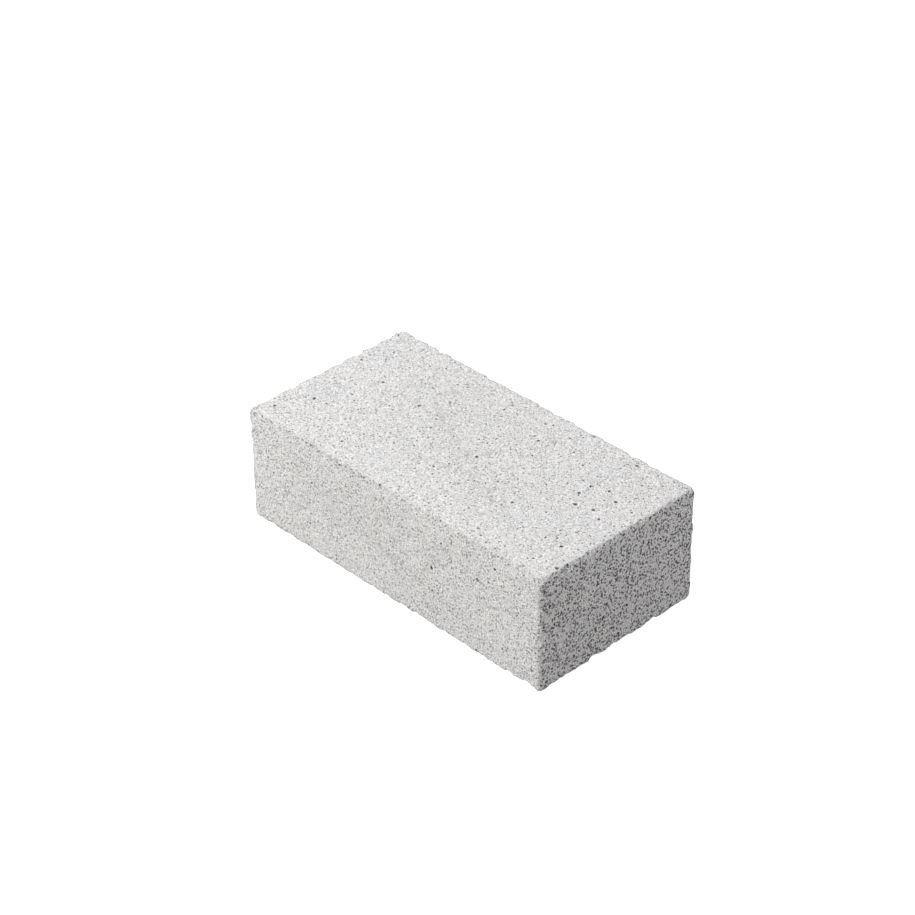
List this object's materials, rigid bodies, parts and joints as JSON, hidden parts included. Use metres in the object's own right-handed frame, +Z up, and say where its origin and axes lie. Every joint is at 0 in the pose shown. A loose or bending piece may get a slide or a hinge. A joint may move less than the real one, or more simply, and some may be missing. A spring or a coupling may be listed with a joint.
{
  "type": "gymnastics chalk block",
  "caption": "Small solid brick of pressed, open-pored chalk for the hands, with flat faces, rubbed edges and chipped corners.",
  "frame": {"origin": "middle of the face that the block rests on", "axes": "+X along the block's length, +Y across its width, +Z up through its thickness"},
  "size_m": [0.08, 0.0416, 0.0256],
  "materials": {
    "pressed_chalk": "matt, dusty and finely open-pored"
  },
  "bodies": {
    "root": {"chalk_block": "pressed_chalk"}
  },
  "joints": []
}
